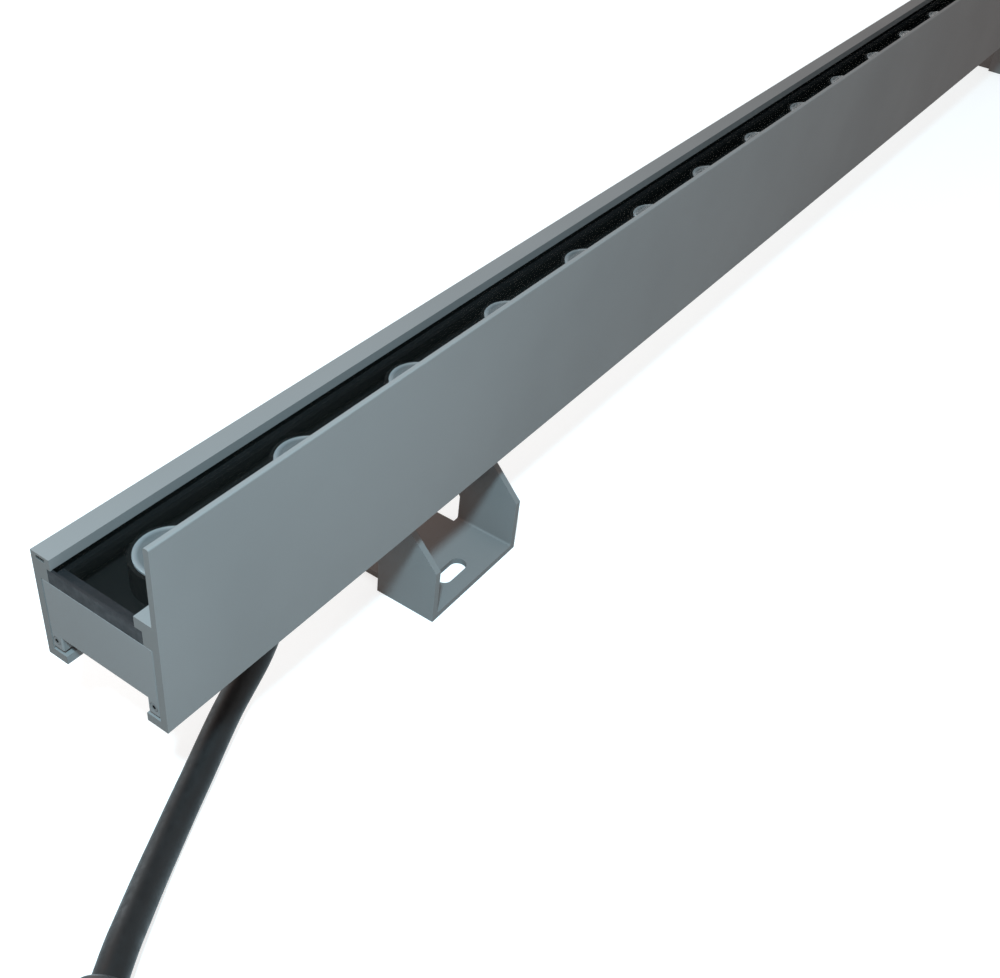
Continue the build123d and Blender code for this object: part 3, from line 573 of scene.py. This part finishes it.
rim.inputs["From Min"].default_value = RIM_STARTS
rim.inputs["From Max"].default_value = RIM_FULL
lens_tree.links.new(distance(lens_tree, along, across), rim.inputs["Value"])
lens_tone = lens_tree.nodes.new("ShaderNodeValToRGB")
lens_tone.color_ramp.elements[0].color = LENS_CORE
lens_tone.color_ramp.elements[1].color = LENS_RIM_HIGHLIGHT
link(lens_tree, rim, "Result", lens_tone, "Fac")
link(lens_tree, lens_tone, "Color", lens_shader, "Base Color")
print("lens pitch:", round(lens_pitch / MM, 2), "mm, row at Y", round(row_y / MM, 2), "mm")

# %% [markdown]
# Moulded black plastic has a spark-eroded grain, rubber is duller, and a board's solder mask is a
# thin lacquer over glass cloth. Each gets its own grain size and roughness. The rubbers, and the
# dark pieces around the lenses, get a fainter mirror too, because the real ones hardly shine.

# %% Plastics and rubber
def moulded(name, tone, grain, roughness, relief=0.0, shine=0.5):
    """Plastic, rubber or lacquer: a screen tone, its grains to the metre and its roughness."""
    colour = shown_colour(*tone)
    low, high = roughness
    finish, tree, shader = new_finish(name, colour, (low + high) / 2, shine=shine)
    clouds = object_noise(tree, grain / 12, detail=2)
    stir_colour(tree, shader, clouds, colour, darkest=0.85, lightest=1.15)
    stir_roughness(tree, shader, object_noise(tree, grain / 3, detail=2), low, high)
    if relief:
        add_relief(tree, shader, object_noise(tree, grain, detail=2), relief, strength=0.6)
    return finish


black_plastic = moulded("moulded_black_plastic", (30, 30, 32), 2400, (0.38, 0.55), relief=0.03 * MM)
holder_plastic = moulded("lens_holder_plastic", (15, 15, 15), 300, (0.75, 0.85), shine=0.1)
board_mask = moulded("black_solder_mask", (17, 17, 17), 300, (0.65, 0.75), shine=0.1)
blackened = moulded("blackened_steel", (16, 16, 17), 300, (0.55, 0.65), shine=0.2)
inner_seal = moulded("black_inner_seal", (16, 16, 17), 300, (0.8, 0.9), shine=0.1)
green_mask = moulded("green_solder_mask", (26, 92, 52), 900, (0.25, 0.4), relief=0.01 * MM)
seal_rubber = moulded("seal_rubber", (30, 31, 34), 1300, (0.6, 0.8), relief=0.06 * MM, shine=0.2)
cord_rubber = moulded("cord_rubber", (20, 20, 21), 1500, (0.42, 0.58), relief=0.02 * MM, shine=0.2)
component_black = moulded("component_black", (24, 24, 26), 1600, (0.4, 0.6), relief=0.02 * MM)
chip_white = moulded("chip_white", (232, 230, 214), 1600, (0.2, 0.35), relief=0.01 * MM)
print("materials so far:", len(bpy.data.materials))

# %% [markdown]
# Bare metal shows how it was made. Drawn or turned metal has fine lines along one axis, which a
# stretched noise gives, and nickel on brass is smoother and a touch warm.

# %% Metals
METAL_GRAIN = 700
METAL_RELIEF = 0.01 * MM


def worked_metal(name, tone, roughness, stretch):
    """Metal with fine lines along the axis that its noise is stretched on."""
    colour = shown_colour(*tone)
    low, high = roughness
    finish, tree, shader = new_finish(name, colour, (low + high) / 2, metallic=1.0)
    clouds = object_noise(tree, METAL_GRAIN / 20, detail=3)
    lines = object_noise(tree, METAL_GRAIN, detail=2, stretch=stretch)
    fine_lines = object_noise(tree, METAL_GRAIN * 2, detail=2, stretch=stretch)
    stir_colour(tree, shader, clouds, colour, darkest=0.9, lightest=1.05)
    stir_roughness(tree, shader, lines, low, high)
    add_relief(tree, shader, fine_lines, METAL_RELIEF, strength=0.5)
    return finish


stainless = worked_metal("stainless_steel", (190, 189, 186), (0.28, 0.42), stretch=(1, 1, 0.15))
nickel_brass = worked_metal("nickel_plated_brass", (194, 190, 180), (0.2, 0.32), stretch=(1, 1, 0.4))
bare_aluminium = worked_metal("bare_aluminium", (186, 188, 190), (0.35, 0.5), stretch=(0.08, 1, 1))
print("metals:", [metal.name for metal in (stainless, nickel_brass, bare_aluminium)])

# %% [markdown]
# Now every carried-over piece gets its finish. The pieces keep their CAD mesh, only their material
# slots change, so the sizes stay exactly as the model has them. A key below stands for every piece
# whose name starts with it, unless a longer key fits too, and both brackets are finished alike.

# %% Finishes for the model's pieces
finishes = {
    "housing": body_coat,
    "end_cap": shaded_cap_coat,
    "end_cap_screws": screw_coat,
    "end_gasket": seal_rubber,
    "cover_glass": cover_glass,
    "glass_seals": inner_seal,
    "glass_end_seals": seal_rubber,
    "led_board": board_mask,
    "leds": chip_white,
    "lenses": lens_plastic,
    "lens_holders": holder_plastic,
    "board_screws": blackened,
    "board_link": holder_plastic,
    "driver_board": green_mask,
    "driver_parts": component_black,
    "driver_standoffs": nickel_brass,
    "driver_screws": stainless,
    "supply_cores": cord_rubber,
    "led_leads": cord_rubber,
    "gland": nickel_brass,
    "gland_washer": seal_rubber,
    "gland_bush": seal_rubber,
    "cable_tail": cord_rubber,
    "connector": black_plastic,
    "connector_tail": cord_rubber,
    "connector_pins": nickel_brass,
    "connector_seal": seal_rubber,
    "coupling_ring": black_plastic,
    "power_cord": cord_rubber,
}
for side in ("near", "far"):
    finishes.update({
        f"{side}_foot": shaded_bracket_coat,
        f"{side}_hanger": shaded_bracket_coat,
        f"{side}_clamp_plate": bare_aluminium,
        f"{side}_clamp_screws": stainless,
        f"{side}_pivot": stainless,
    })


def finish_of(name):
    """The finish whose key is the longest one that the piece's name starts with."""
    keys = [key for key in finishes if name.startswith(key)]
    return finishes[max(keys, key=len)]


for name, piece in nodes.items():
    for slot in piece.material_slots:
        slot.material = finish_of(name)
supply_cord.data.materials.append(cord_rubber)
print("finished pieces:", len(nodes))
